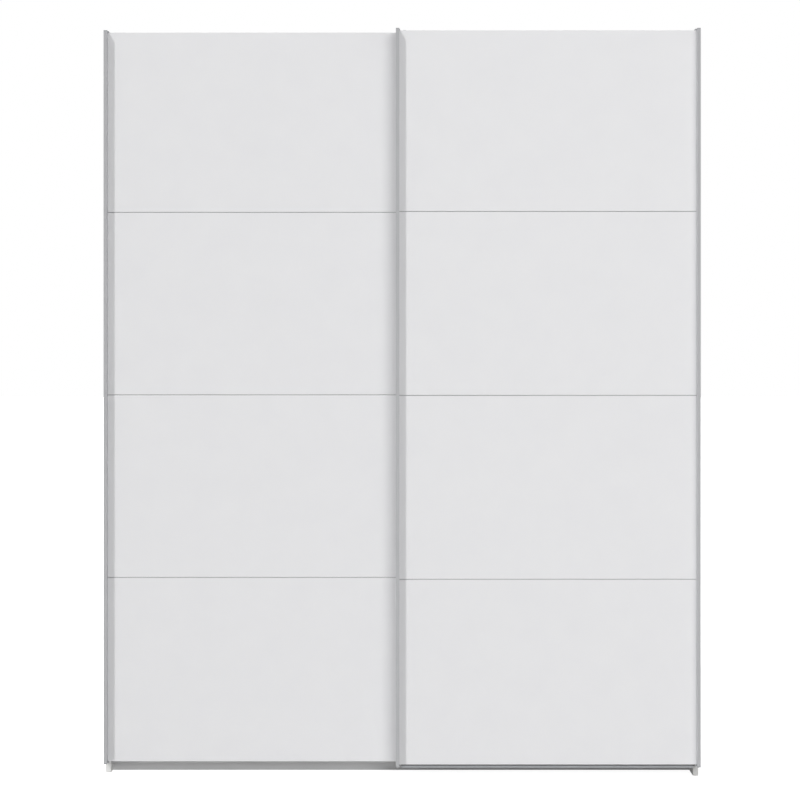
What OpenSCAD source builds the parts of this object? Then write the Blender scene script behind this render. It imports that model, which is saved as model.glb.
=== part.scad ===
// Sliding door wardrobe: a board cabinet with two doors that cover its whole front.
// Each door rolls on a ribbed track ahead of the plinth and is guided in a channel on the cabinet's top.
// +X is right, -Y is the front, +Z is up. The origin is at the floor, in the middle of the footprint.

/* [Cabinet] */
// Width over both side panels
carcass_w = 1754; // [1300:1:2400]
// Height of the cabinet without its doors
carcass_h = 2160; // [1750:1:2700]
// Depth from the face of the front door's profile to the wall
depth = 645; // [520:1:800]
// Thickness of the cabinet boards
board_t = 16; // [13:0.5:25]
// Thickness of the back panels
back_t = 3; // [2.5:0.5:6]
// Clearance between the roller brackets and the bottom panel above them
plinth_clearance = 6.2; // [2:0.1:60]
// Setback of the plinth behind the left side panel's front edge
plinth_setback = 26; // [24:1:40]
// Clear height of the space above the hat shelves
hat_space_h = 348; // [200:1:500]
// Setback of the top and bottom panels behind the left side panel's front edge
edge_setback = 2; // [0:0.5:10]
// Setback of the centre partition behind the top and bottom panels' front edges
partition_setback = 4; // [0:1:20]
// Setback of the hat shelves behind the top and bottom panels' front edges
shelf_setback = 12; // [4:1:40]

/* [Doors] */
// Width by which the closed doors overlap in the middle
door_overlap = 30; // [24:1:60]
// Thickness of the door boards
door_t = 16; // [12:0.5:22]
// Height of the door boards' lower edge above the floor
door_gap = 39; // [34:1:60]
// Height of the door boards' top edge above the cabinet
door_rise = 35; // [28:1:60]
// Clearance between the rear door's ridges and the steelwork on the front door's back
door_clearance = 1.9; // [0.5:0.1:20]
// Gap from the back of a door to the side panel behind it
side_gap = 8; // [5:0.5:14]
// Pitch of the lowest board
bottom_row_h = 544; // [300:1:700]
// Pitch of the two middle boards
middle_row_h = 540; // [300:1:620]
// Width of the groove line between two boards
seam_w = 1.4; // [0.8:0.1:3]
// Chamfer on the long front edges of the boards
board_chamfer = 1; // [0.4:0.1:2]

/* [Edge profiles] */
// Width of the ridge that serves as the handle
ridge_w = 10; // [8:0.5:16]
// Height of the ridge in front of the boards
ridge_h = 20; // [12:0.5:30]
// Wall of the profile
profile_wall = 1.6; // [1.2:0.1:2.5]
// Width of the lip behind the board
lip_w = 12; // [8:0.5:20]
// Thickness of the end caps
cap_t = 4; // [2:0.5:6]
// Radius on the ridge's front edges
ridge_r = 1.2; // [0.6:0.1:2.5]

/* [Running gear] */
// Outer radius of the wheels
wheel_r = 12; // [11:0.5:13]
// Width of the wheels
wheel_w = 5; // [4:0.5:6]
// Radius of the axles
axle_r = 2; // [1.5:0.1:2.4]
// Thickness of the steel brackets
steel_t = 2.5; // [2:0.1:3]
// Distance of a wheel from its door's edge
wheel_inset = 48; // [40:1:120]
// Length of a guide shoe
shoe_l = 30; // [16:1:40]

/* [Hanging] */
// Width of the oval clothes rails
rail_w = 15; // [12:0.5:20]
// Height of the oval clothes rails
rail_h = 30; // [24:0.5:40]
// Drop of the clothes rails' centre below the hat shelf
rail_drop = 52; // [40:1:80]

/* [Hidden] */
$fn = 48;

eps = 0.05;            // overshoot of a cut past a face
fit = 0.05;            // radial clearance of a pin, dowel or axle in its hole
play = 0.3;            // clearance between pieces that move past each other

// Depth planes, from the front: the right door runs ahead of the left door.
right_face_y = -depth / 2 + ridge_h;
door_pitch = door_t + profile_wall + steel_t + door_clearance + ridge_h;
left_face_y = right_face_y + door_pitch;
right_back_y = right_face_y + door_t;
left_back_y = left_face_y + door_t;
side_right_y = right_back_y + side_gap;
side_left_y = left_back_y + side_gap;
inner_y = side_left_y + edge_setback;
plinth_y = side_left_y + plinth_setback;
wall_y = depth / 2;
back_recess = 8.3;
back_y = wall_y - back_recess;

// Widths
half_w = carcass_w / 2;
inner_x = half_w - board_t;
door_w = (carcass_w + door_overlap) / 2;
partition_x = board_t / 2;

// Heights of the running gear: a wheel's groove stands on a rib of the bottom track.
track_t = 2;
track_drop = 1;
rib_h = 4;
rib_w = 2;
wheel_groove_depth = 2;
bracket_headroom = 5;
track_z = door_gap - track_drop;
rib_top = track_z + track_t + rib_h;
groove_r = wheel_r - wheel_groove_depth;
axle_z = rib_top + play + groove_r;
bracket_shelf_z = axle_z + wheel_r + bracket_headroom;

// Heights of the cabinet
glide_h = 1;
plinth_lift = 2;
plinth_h = bracket_shelf_z + steel_t + plinth_clearance;
floor_z = plinth_h + board_t;
ceiling_z = carcass_h - board_t;
shelf_z = ceiling_z - hat_space_h - board_t;
rail_z = shelf_z - rail_drop;
door_top = carcass_h + door_rise;
rows = [door_gap, door_gap + bottom_row_h, door_gap + bottom_row_h + middle_row_h,
        door_gap + bottom_row_h + 2 * middle_row_h, door_top];

// Cabinet joints; past is how far a hole runs out through the face that it is drilled from.
function past(grow) = grow > 0 ? 1 : 0;
joint_inset = 60;
dowel_offset = 32;
cam_r = 7.5;
cam_x = 34;
cam_slot = 0.4;
cam_floor = 4;
cam_h = board_t / 2 + cam_floor;
bolt_r = 3;
bolt_past_cam = 3;
bolt_sink = 11;
dowel_r = 4;
dowel_sink = 10;
dowel_l = 30;
pin_r = 2.5;
pin_l = 16;
pin_inset = 50;
pin_gap = 0.5;
groove_depth = 6;
groove_play = 0.4;
rear_plinth_inset = 30;
joint_ys = [inner_y + joint_inset, back_y - joint_inset];
dowel_ys = [inner_y + joint_inset + dowel_offset, back_y - joint_inset - dowel_offset];
board_zs = [plinth_h, ceiling_z];
pin_ys = [inner_y + pin_inset, back_y - pin_inset];

// Bottom track: a base with two ribs and a flange on the plinth
track_end = 1;
flange_h = 24;
flange_screw_z = 17;

// Behind the left door: the carrier's rear leg, its wheels, then the left door's brackets and wheels
collar_t = 1;
axle_head_t = 0.8;
axle_clearance = 1.4;
gear_clearance = 1;
axle_end = collar_t + wheel_w + play + axle_head_t;
carrier_rear_y = left_back_y + steel_t + gear_clearance;
wheel_front_y = carrier_rear_y + steel_t + collar_t;
bracket_rear_y = carrier_rear_y + steel_t + axle_end + axle_clearance;
wheel_rear_y = bracket_rear_y + steel_t + collar_t;
front_rib_y = wheel_front_y + wheel_w / 2 - rib_w / 2;
rear_rib_y = wheel_rear_y + wheel_w / 2 - rib_w / 2;
track_front_y = wheel_front_y;

// Brackets that hold the wheels
carrier_clearance = 7;
carrier_cover = 52;
carrier_over_axle = 7;
carrier_z = door_gap - cap_t - steel_t - carrier_clearance;
carrier_top = door_gap + carrier_cover;
carrier_rear_top = axle_z + carrier_over_axle;
side_clearance = 2;
side_margin = board_t + side_clearance;
bracket_w = 34;
bracket_cover = 80;
bracket_top = door_gap + bracket_cover;
bracket_leg_w = 16;
bracket_below_axle = 6;

// Top guide track: a base with three walls, on the cabinet's top
guide_wall = 2;
guide_gap = 10;
guide_h = 16;
guide_y = side_left_y;
guide_slot_y = [guide_y + guide_wall, guide_y + 2 * guide_wall + guide_gap];
guide_depth = 3 * guide_wall + 2 * guide_gap;
shoe_play = 1;
shoe_y = guide_gap - shoe_play;
shoe_bottom = carcass_h + guide_wall + shoe_play;
shoe_top = carcass_h + guide_h;
guide_rise = 8;
arm_clearance = 1;
left_guide_top = carcass_h + guide_h + guide_rise;
arm_top = door_top + cap_t + arm_clearance + steel_t;
guide_leg = 60;
arm_leg = 90;

screw_r = 1.75;
screw_head_r = 3.4;
screw_l = 12;
screw_edge = 12;
screw_pitch = 20;
screw_head_t = 1.5;
left_screw_zs = [bracket_top - screw_edge, left_guide_top - guide_leg + screw_edge];
right_screw_zs = [carrier_top - screw_edge];

// Rods and plates that the sub-parts share
module rod_x(x, y, z, r, l) translate([x, y, z]) rotate([0, 90, 0]) cylinder(r = r, h = l);
module rod_y(x, y, z, r, l) translate([x, y, z]) rotate([-90, 0, 0]) cylinder(r = r, h = l);
module rod_z(x, y, z, r, l) translate([x, y, z]) cylinder(r = r, h = l);
module block(a, b) translate(a) cube(b - a);

// A countersunk screw that points along -Y, its head flush at y; grow opens it up for its hole.
module door_screw(x, y, z, l, grow = 0) {
    head_h = screw_head_r - screw_r;
    translate([x, y, z]) rotate([90, 0, 0]) {
        cylinder(r1 = screw_head_r + grow, r2 = screw_r + grow, h = head_h);
        cylinder(r = screw_r + grow, h = l);
    }
}

// ---------------------------------------------------------------- cabinet joints

// The cam bolts, dowels and cams at both ends of the top and bottom panels
module end_bolts(grow = 0) {
    for (side = [-1, 1]) for (z = board_zs) for (y = joint_ys) {
        x0 = side > 0 ? inner_x - cam_x + bolt_past_cam : -inner_x - bolt_sink;
        rod_x(x0, y, z + board_t / 2, bolt_r + grow, bolt_sink + cam_x - bolt_past_cam);
    }
}

module end_cams(grow = 0) {
    for (side = [-1, 1]) for (y = joint_ys) {
        x = side * (inner_x - cam_x);
        rod_z(x, y, carcass_h - cam_h - grow, cam_r + grow, cam_h + grow + past(grow));
        rod_z(x, y, plinth_h - past(grow), cam_r + grow, cam_h + grow + past(grow));
    }
}

module end_dowels(grow = 0) {
    for (side = [-1, 1]) for (z = board_zs) for (y = dowel_ys) {
        x0 = side > 0 ? inner_x + dowel_sink - dowel_l : -inner_x - dowel_sink;
        rod_x(x0 - grow, y, z + board_t / 2, dowel_r + grow, dowel_l + 2 * grow);
    }
    for (side = [-1, 1]) for (y = [plinth_y + board_t / 2, back_y - rear_plinth_inset]) {
        x0 = side > 0 ? inner_x + dowel_sink - dowel_l : -inner_x - dowel_sink;
        rod_x(x0 - grow, y, plinth_h / 2, dowel_r + grow, dowel_l + 2 * grow);
    }
}

module partition_dowels(grow = 0) {
    for (y = dowel_ys) {
        rod_z(0, y, floor_z - dowel_sink - grow, dowel_r + grow, dowel_l + 2 * grow);
        rod_z(0, y, ceiling_z + dowel_sink - dowel_l - grow, dowel_r + grow, dowel_l + 2 * grow);
    }
}

// Pins under the ends of both hat shelves
module pins(grow = 0) {
    for (x = [-inner_x, -partition_x, partition_x, inner_x]) for (y = pin_ys) {
        away = x == -partition_x ? -pin_gap / 2 : x == partition_x ? pin_gap / 2 : 0;
        rod_x(x - pin_l / 2 + away, y, shelf_z - pin_r, pin_r + grow, pin_l);
    }
}

// ---------------------------------------------------------------- cabinet

// A side panel stands on the floor glides; the right one reaches forward to the front door.
module side_panel(side, front) {
    color("white") difference() {
        block([min(side * inner_x, side * half_w), front, glide_h],
              [max(side * inner_x, side * half_w), wall_y, carcass_h]);
        translate([side * (inner_x + groove_depth / 2), back_y + back_t / 2, carcass_h / 2])
            cube([groove_depth + 2 * eps, back_t + groove_play, 2 * carcass_h], center = true);
        end_bolts(fit);
        end_dowels(fit);
        pins(fit);
        glides(fit);
    }
}
module side_panel_left() side_panel(-1, side_left_y);
module side_panel_right() side_panel(1, side_right_y);

module long_board(z) {
    block([-inner_x, inner_y, z], [inner_x, back_y, z + board_t]);
}

module top_panel() {
    color("white") difference() {
        long_board(ceiling_z);
        end_bolts(fit);
        end_cams(fit);
        end_dowels(fit);
        partition_dowels(fit);
        top_screws(fit);
        bracket_screws(fit);
    }
}

module bottom_panel() {
    color("white") difference() {
        long_board(plinth_h);
        end_bolts(fit);
        end_cams(fit);
        end_dowels(fit);
        partition_dowels(fit);
    }
}

module centre_partition() {
    color("white") difference() {
        block([-partition_x, inner_y + partition_setback, floor_z], [partition_x, back_y, ceiling_z]);
        partition_dowels(fit);
        pins(fit);
    }
}

// A back panel spans from a side panel's groove to the joining strip.
strip_web = 1.4;
strip_w = 24;
strip_t = 1.4;
strip_gap = 0.1;
web_gap = 0.3;
groove_end_gap = 0.5;
module back_panel(side) {
    near = strip_web / 2 + web_gap;
    far = inner_x + groove_depth - groove_end_gap;
    color("white") block([min(side * near, side * far), back_y, plinth_h],
                         [max(side * near, side * far), back_y + back_t, carcass_h]);
}
module back_panel_left() back_panel(-1);
module back_panel_right() back_panel(1);

// The strip is a T: its web stands between the back panels and its flange covers the joint.
module back_joining_strip() {
    strip_back = back_y + back_t + strip_gap + strip_t;
    color("white") {
        block([-strip_web / 2, back_y + 2 * strip_gap, plinth_h], [strip_web / 2, strip_back, carcass_h]);
        block([-strip_w / 2, strip_back - strip_t, plinth_h], [strip_w / 2, strip_back, carcass_h]);
    }
}

shelf_end_gap = 0.5;
shelf_back_gap = 1;
module hat_shelf(low, high) {
    color("white") block([low + shelf_end_gap, inner_y + shelf_setback, shelf_z],
                         [high - shelf_end_gap, back_y - shelf_back_gap, shelf_z + board_t]);
}
module hat_shelf_left() hat_shelf(-inner_x, -partition_x);
module hat_shelf_right() hat_shelf(partition_x, inner_x);

// An oval outline for the rails and the sockets that hold them
module oval(w, h) {
    translate([0, (h - w) / 2]) circle(d = w);
    translate([0, (w - h) / 2]) circle(d = w);
    square([w, h - w], center = true);
}

rail_y = (inner_y + back_y) / 2;
rail_wall = 1.2;
flange_t = 3;
flange_rim = 5;
flange_gap = 0.1;
socket_l = 12;

module clothes_rail(low, high) {
    color("silver") translate([low + flange_t, rail_y, rail_z]) rotate([90, 0, 90])
        linear_extrude(high - low - 2 * flange_t) difference() {
            oval(rail_w, rail_h);
            oval(rail_w - 2 * rail_wall, rail_h - 2 * rail_wall);
        }
}
module clothes_rail_left() clothes_rail(-inner_x, -partition_x);
module clothes_rail_right() clothes_rail(partition_x, inner_x);

// A flange is a disc on the board with a plug that fits inside the rail's end.
module rail_flange(x, way) {
    inside_w = rail_w - 2 * rail_wall - play;
    inside_h = rail_h - 2 * rail_wall - play;
    translate([x, rail_y, rail_z]) rotate([90, 0, 90 * way]) {
        linear_extrude(flange_t - flange_gap) oval(rail_w + 2 * flange_rim, rail_h + 2 * flange_rim);
        linear_extrude(socket_l) oval(inside_w, inside_h);
    }
}
module rail_flanges() {
    color("silver") {
        rail_flange(-inner_x, 1);
        rail_flange(-partition_x, -1);
        rail_flange(partition_x, 1);
        rail_flange(inner_x, -1);
    }
}

module plinth() {
    color("white") difference() {
        block([-inner_x, plinth_y, plinth_lift], [inner_x, plinth_y + board_t, plinth_h]);
        end_dowels(fit);
        plinth_screws(fit);
    }
}

module rear_plinth() {
    color("white") difference() {
        translate([0, back_y - rear_plinth_inset, (plinth_lift + plinth_h) / 2])
            cube([2 * inner_x, board_t, plinth_h - plinth_lift], center = true);
        end_dowels(fit);
    }
}

module cam_locks() {
    color("silver") difference() {
        end_cams();
        end_bolts(cam_slot);
    }
}
module cam_bolts() color("silver") end_bolts();
module dowels() {
    color("tan") {
        end_dowels();
        partition_dowels();
    }
}
module shelf_pins() color("silver") pins();

glide_r = 6;
glide_stem = 8;
glide_stem_r = 2.5;
module glides(grow = 0) {
    for (x = [-half_w + board_t / 2, half_w - board_t / 2]) for (y = pin_ys) {
        rod_z(x, y, glide_h - past(grow), glide_stem_r + grow, glide_stem + past(grow) + grow);
    }
}
module floor_glides() {
    color("gray") {
        glides();
        for (x = [-half_w + board_t / 2, half_w - board_t / 2]) for (y = pin_ys)
            rod_z(x, y, 0, glide_r, glide_h);
    }
}

// Angle brackets that tie the cabinet's top to the wall
wall_hole_r = 3.25;
wall_bracket_x = 600;
wall_hole_h = 22;
wall_bracket_z = carcass_h + wall_hole_h;
wall_bracket_edge = 60;
wall_leg_w = 40;
wall_leg_l = 55;
wall_leg_h = 36;
wall_screw_inset = 42;
wall_screw_y = wall_y - wall_screw_inset;
wall_screw_tip_gap = 3;
wall_screw_over = 1;
wall_screw_l = board_t - wall_screw_tip_gap + steel_t + wall_screw_over;
function bracket_x(side) = side * min(wall_bracket_x, inner_x - wall_bracket_edge);
module bracket_screws(grow = 0) {
    for (side = [-1, 1]) for (dx = [-screw_pitch / 2, screw_pitch / 2])
        rod_z(bracket_x(side) + dx, wall_screw_y, ceiling_z + wall_screw_tip_gap - grow,
              screw_r + grow, wall_screw_l + grow);
}
module wall_brackets() {
    color("silver") for (side = [-1, 1]) difference() {
        x = bracket_x(side);
        union() {
            block([x - wall_leg_w / 2, wall_y - wall_leg_l, carcass_h],
                  [x + wall_leg_w / 2, wall_y, carcass_h + steel_t]);
            block([x - wall_leg_w / 2, wall_y - steel_t, carcass_h],
                  [x + wall_leg_w / 2, wall_y, carcass_h + wall_leg_h]);
        }
        rod_y(x, wall_y - 2 * steel_t, wall_bracket_z, wall_hole_r, 3 * steel_t);
        bracket_screws(fit);
    }
}

// ---------------------------------------------------------------- tracks

module bottom_track() {
    color("silver") difference() {
        union() {
            block([-inner_x + track_end, track_front_y, track_z],
                  [inner_x - track_end, plinth_y, track_z + track_t]);
            for (y = [front_rib_y, rear_rib_y])
                block([-inner_x + track_end, y, track_z], [inner_x - track_end, y + rib_w, rib_top]);
            block([-inner_x + track_end, plinth_y - track_t, track_z],
                  [inner_x - track_end, plinth_y, track_z + flange_h]);
        }
        plinth_screws(fit);
    }
}

module top_track() {
    color("silver") difference() {
        union() {
            block([-half_w, guide_y, carcass_h], [half_w, guide_y + guide_depth, carcass_h + guide_wall]);
            for (i = [0:2])
                translate([0, i * (guide_gap + guide_wall), 0])
                    block([-half_w, guide_y, carcass_h], [half_w, guide_y + guide_wall, carcass_h + guide_h]);
        }
        top_screws(fit);
    }
}

// Blocks on the ribs that stop the outermost wheels
left_wheel_x = [-half_w + wheel_inset, -half_w + door_w - wheel_inset];
right_wheel_x = [half_w - wheel_inset, half_w - door_w + wheel_inset];
left_travel = inner_x - side_clearance - (door_w - half_w);
right_travel = carcass_w - door_w;
stop_margin = (wheel_w + 1 - rib_w) / 2;
stop_over_axle = 4;
module stop_block(low, high, y) {
    difference() {
        block([low, y - stop_margin, track_z + track_t],
              [high, y + rib_w + stop_margin, axle_z + stop_over_axle]);
        block([low - 1, y - fit, track_z], [high + 1, y + rib_w + fit, rib_top + fit]);
    }
}
module track_stops() {
    stop_gap = wheel_r + 1;
    color("dimgray") {
        stop_block(-inner_x + track_end, left_wheel_x[0] - stop_gap, rear_rib_y);
        stop_block(left_wheel_x[1] + left_travel + stop_gap, inner_x - track_end, rear_rib_y);
        stop_block(right_wheel_x[0] + stop_gap, inner_x - track_end, front_rib_y);
        stop_block(-inner_x + track_end, right_wheel_x[1] - right_travel - stop_gap, front_rib_y);
    }
}

screw_count = 7;
screw_end = 90;
top_screw_l = 10;
screw_xs = [for (i = [0 : screw_count - 1]) (i / (screw_count - 1) - 0.5) * 2 * (inner_x - screw_end)];
module plinth_screws(grow = 0) {
    for (x = screw_xs) {
        rod_y(x, plinth_y - track_t - screw_head_t, track_z + flange_screw_z, screw_r + grow,
              screw_head_t + track_t + screw_l + grow);
        rod_y(x, plinth_y - track_t - screw_head_t, track_z + flange_screw_z, screw_head_r, screw_head_t);
    }
}
module top_screws(grow = 0) {
    for (x = screw_xs) for (y = guide_slot_y) {
        rod_z(x, y + guide_gap / 2, carcass_h - top_screw_l - grow, screw_r + grow,
              top_screw_l + guide_wall + grow);
    }
}
module track_screws() {
    color("silver") {
        plinth_screws();
        top_screws();
    }
}

// ---------------------------------------------------------------- doors, in their own frame
// x = 0 is a door's left edge, y = 0 its boards' front face, z = 0 the floor.

module at_left() translate([-half_w, left_face_y, 0]) children();
module at_right() translate([half_w - door_w, right_face_y, 0]) children();

spline_t = 4;
spline_w = 20;
spline_end_gap = 1;
slot_gap = 0.1;
edge_web = 2;
edge_gap = 0.2;

// A board's outline from the side: chamfered front edges, and slots for the splines
module board(row, zs) {
    low = rows[row] + (row > 0 ? seam_w / 2 : 0);
    high = rows[row + 1] - (row < 3 ? seam_w / 2 : 0);
    slot = spline_w / 2 - seam_w / 2 + 2 * slot_gap;
    color("white") difference() {
        translate([edge_web + edge_gap, 0, 0]) rotate([90, 0, 90])
            linear_extrude(door_w - 2 * (edge_web + edge_gap)) polygon([
                [0, low + board_chamfer], [board_chamfer, low], [door_t, low],
                [door_t, high], [board_chamfer, high], [0, high - board_chamfer]]);
        if (row > 0) spline_slot(low, low + slot);
        if (row < 3) spline_slot(high - slot, high);
        fixing_screws(zs, fit);
    }
}
module spline_slot(low, high) {
    half_t = spline_t / 2 + slot_gap;
    block([-1, door_t / 2 - half_t, low - eps], [door_w + 1, door_t / 2 + half_t, high + eps]);
}
module splines() {
    color("gray") for (row = [1:3])
        block([edge_web + spline_end_gap, door_t / 2 - spline_t / 2, rows[row] - spline_w / 2],
              [door_w - edge_web - spline_end_gap, door_t / 2 + spline_t / 2, rows[row] + spline_w / 2]);
}

// The profile: a hollow ridge, a web over the board's edge and a lip behind the board
module ridge_outline() {
    translate([ridge_r, -ridge_h + ridge_r]) circle(r = ridge_r);
    translate([ridge_w - ridge_r, -ridge_h + ridge_r]) circle(r = ridge_r);
    translate([ridge_r, -ridge_h]) square([ridge_w - 2 * ridge_r, ridge_h]);
    translate([0, -ridge_h + ridge_r]) square([ridge_w, ridge_h - ridge_r]);
}
module profile_section() {
    difference() {
        ridge_outline();
        translate([profile_wall, -ridge_h + profile_wall])
            square([ridge_w - 2 * profile_wall, ridge_h - 2 * profile_wall]);
    }
    translate([0, -profile_wall]) square([edge_web, door_t + 2 * profile_wall]);
    translate([0, door_t]) square([lip_w, profile_wall]);
}
module profile() {
    color("silver") translate([0, 0, door_gap]) linear_extrude(door_top - door_gap) profile_section();
}

// A cap closes each end of a profile; its plug sits in the hollow ridge.
plug_l = 10;
plug_gap = 0.1;
module cap(z, up) {
    translate([0, 0, up ? z : z - cap_t]) linear_extrude(cap_t) {
        ridge_outline();
        translate([0, -profile_wall]) square([lip_w, door_t + 2 * profile_wall]);
    }
    inset = profile_wall + plug_gap;
    translate([0, 0, up ? z - plug_l : z]) linear_extrude(plug_l)
        translate([inset, -ridge_h + inset]) square([ridge_w - 2 * inset, ridge_h - 2 * inset]);
}
module edge_pair(mirrored) {
    if (mirrored) translate([door_w, 0, 0]) mirror([1, 0, 0]) children();
    else children();
}
module caps() {
    color("gray") for (far = [false, true]) edge_pair(far) {
        cap(door_top, true);
        cap(door_gap, false);
    }
}

// The countersunk screws that hold a door's brackets, two at each wheel's place and each height
module fixing_screws(zs, grow = 0) {
    for (x = [wheel_inset, door_w - wheel_inset]) for (dx = [-screw_pitch / 2, screw_pitch / 2])
        for (z = zs) door_screw(x + dx, door_t + steel_t, z, screw_l + grow, grow);
}

// A wheel is turned with a groove for the rib; the axle holds it between a collar and a head.
groove_side = 0.4;
collar_r = 3.5;
axle_head_r = 3.2;
module wheel(y) {
    color("whitesmoke") translate([0, y, axle_z]) rotate([-90, 0, 0]) rotate_extrude() difference() {
        translate([axle_r + fit, 0]) square([wheel_r - axle_r - fit, wheel_w]);
        translate([groove_r, (wheel_w - rib_w) / 2 - groove_side]) square([wheel_r, rib_w + 2 * groove_side]);
    }
}
module axle(y) {
    color("silver") {
        rod_y(0, y, axle_z, axle_r, steel_t + axle_end);
        rod_y(0, y + steel_t, axle_z, collar_r, collar_t - play);
        rod_y(0, y + steel_t + axle_end - axle_head_t, axle_z, axle_head_r, axle_head_t);
    }
}

// ---------------------------------------------------------------- left door

module left_door_board_bottom() at_left() board(0, left_screw_zs);
module left_door_board_lower() at_left() board(1, left_screw_zs);
module left_door_board_upper() at_left() board(2, left_screw_zs);
module left_door_board_top() at_left() board(3, left_screw_zs);
module left_door_splines() at_left() splines();
module left_door_profile_outer() at_left() profile();
module left_door_profile_inner() at_left() edge_pair(true) profile();
module left_door_caps() at_left() caps();

// Each bracket drops from the door's back over the front rib to the rear rib.
module left_door_roller_brackets() {
    back = left_back_y;
    color("silver") for (x = left_wheel_x) difference() {
        union() {
            block([x - bracket_w / 2, back, bracket_shelf_z],
                  [x + bracket_w / 2, back + steel_t, bracket_top]);
            block([x - bracket_w / 2, back, bracket_shelf_z],
                  [x + bracket_w / 2, bracket_rear_y + steel_t, bracket_shelf_z + steel_t]);
            block([x - bracket_leg_w / 2, bracket_rear_y, axle_z - bracket_below_axle],
                  [x + bracket_leg_w / 2, bracket_rear_y + steel_t, bracket_shelf_z + steel_t]);
        }
        rod_y(x, bracket_rear_y - 1, axle_z, axle_r + fit / 2, steel_t + 2);
        at_left() fixing_screws(left_screw_zs, fit);
    }
}
module left_door_axles() for (x = left_wheel_x) translate([x, 0, 0]) axle(bracket_rear_y);
module left_door_wheel_outer() translate([left_wheel_x[0], 0, 0]) wheel(wheel_rear_y);
module left_door_wheel_inner() translate([left_wheel_x[1], 0, 0]) wheel(wheel_rear_y);

// Guide brackets reach back from the door into the front groove of the top track.
tongue_w = 16;
shoe_sole = 4;
tongue_gap = 0.1;
tongue_z = shoe_bottom + shoe_sole;
left_leg_y = guide_slot_y[0] + guide_gap / 2 - steel_t / 2;
module left_door_top_guides() {
    color("silver") for (x = left_wheel_x) difference() {
        union() {
            block([x - bracket_w / 2, left_back_y, left_guide_top - guide_leg],
                  [x + bracket_w / 2, left_back_y + steel_t, left_guide_top]);
            block([x - bracket_w / 2, left_back_y, left_guide_top - steel_t],
                  [x + bracket_w / 2, left_leg_y + steel_t, left_guide_top]);
            block([x - tongue_w / 2, left_leg_y, tongue_z],
                  [x + tongue_w / 2, left_leg_y + steel_t, left_guide_top]);
        }
        at_left() fixing_screws(left_screw_zs, fit);
    }
}

// A guide shoe is a nylon block in one groove of the track, with a slot for the tongue at tongue_x.
module guide_shoe(x, groove, tongue_x, width) {
    y = guide_slot_y[groove] + (guide_gap - shoe_y) / 2;
    half_t = steel_t / 2 + tongue_gap;
    slot_w = width + 2 * tongue_gap;
    difference() {
        block([x - shoe_l / 2, y, shoe_bottom], [x + shoe_l / 2, y + shoe_y, shoe_top]);
        block([tongue_x - slot_w / 2, y + shoe_y / 2 - half_t, tongue_z - tongue_gap],
              [tongue_x + slot_w / 2, y + shoe_y / 2 + half_t, shoe_top + 1]);
    }
}
module left_door_guide_shoes() {
    color("ivory") for (x = left_wheel_x) guide_shoe(x, 0, x, tongue_w);
}
module left_door_screws() color("silver") at_left() fixing_screws(left_screw_zs);

// ---------------------------------------------------------------- right door

module right_door_board_bottom() at_right() board(0, right_screw_zs);
module right_door_board_lower() at_right() board(1, right_screw_zs);
module right_door_board_upper() at_right() board(2, right_screw_zs);
module right_door_board_top() at_right() board(3, right_screw_zs);
module right_door_splines() at_right() splines();
module right_door_profile_outer() at_right() edge_pair(true) profile();
module right_door_profile_inner() at_right() profile();
module right_door_caps() at_right() caps();

// The carrier rail is a U across the whole door: it hangs from the boards' back,
// passes under the left door's plane and rises again ahead of the front rib.
module right_door_carrier_rail() {
    low = half_w - door_w + side_margin;
    high = half_w - side_margin;
    color("silver") difference() {
        union() {
            block([low, right_back_y, carrier_z], [high, right_back_y + steel_t, carrier_top]);
            block([low, right_back_y, carrier_z], [high, carrier_rear_y + steel_t, carrier_z + steel_t]);
            block([low, carrier_rear_y, carrier_z], [high, carrier_rear_y + steel_t, carrier_rear_top]);
        }
        for (x = right_wheel_x) rod_y(x, carrier_rear_y - 1, axle_z, axle_r + fit / 2, steel_t + 2);
        at_right() fixing_screws(right_screw_zs, fit);
    }
}
module right_door_axles() for (x = right_wheel_x) translate([x, 0, 0]) axle(carrier_rear_y);
module right_door_wheel_outer() translate([right_wheel_x[0], 0, 0]) wheel(wheel_front_y);
module right_door_wheel_inner() translate([right_wheel_x[1], 0, 0]) wheel(wheel_front_y);

// Slim arms behind the profiles pass over the left door into the track's rear groove.
arm_y = right_back_y + profile_wall;
arm_leg_y = guide_slot_y[1] + guide_gap / 2 - steel_t / 2;
screw_tip_gap = 0.1;
arm_x = [half_w - door_w + ridge_w / 2, half_w - ridge_w / 2];
arm_screw_pitch = 35;
arm_screw_zs = [door_top - arm_leg + screw_pitch, door_top - arm_leg + screw_pitch + arm_screw_pitch];
module right_door_top_guides() {
    color("silver") for (x = arm_x) difference() {
        union() {
            block([x - ridge_w / 2, arm_y, door_top - arm_leg], [x + ridge_w / 2, arm_y + steel_t, arm_top]);
            block([x - ridge_w / 2, arm_y, arm_top - steel_t],
                  [x + ridge_w / 2, arm_leg_y + steel_t, arm_top]);
            block([x - ridge_w / 2, arm_leg_y, tongue_z], [x + ridge_w / 2, arm_leg_y + steel_t, arm_top]);
        }
        arm_screws(fit);
    }
}
module arm_screws(grow = 0) {
    for (x = arm_x) for (z = arm_screw_zs)
        door_screw(x, arm_y + steel_t, z, steel_t - screw_tip_gap + grow, grow);
}
// The shoes sit inwards of the arms, level with the door's edges.
module right_door_guide_shoes() {
    color("ivory") {
        guide_shoe(arm_x[0] - ridge_w / 2 + shoe_l / 2, 1, arm_x[0], ridge_w);
        guide_shoe(arm_x[1] + ridge_w / 2 - shoe_l / 2, 1, arm_x[1], ridge_w);
    }
}
module right_door_screws() {
    color("silver") {
        at_right() fixing_screws(right_screw_zs);
        arm_screws();
    }
}

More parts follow.
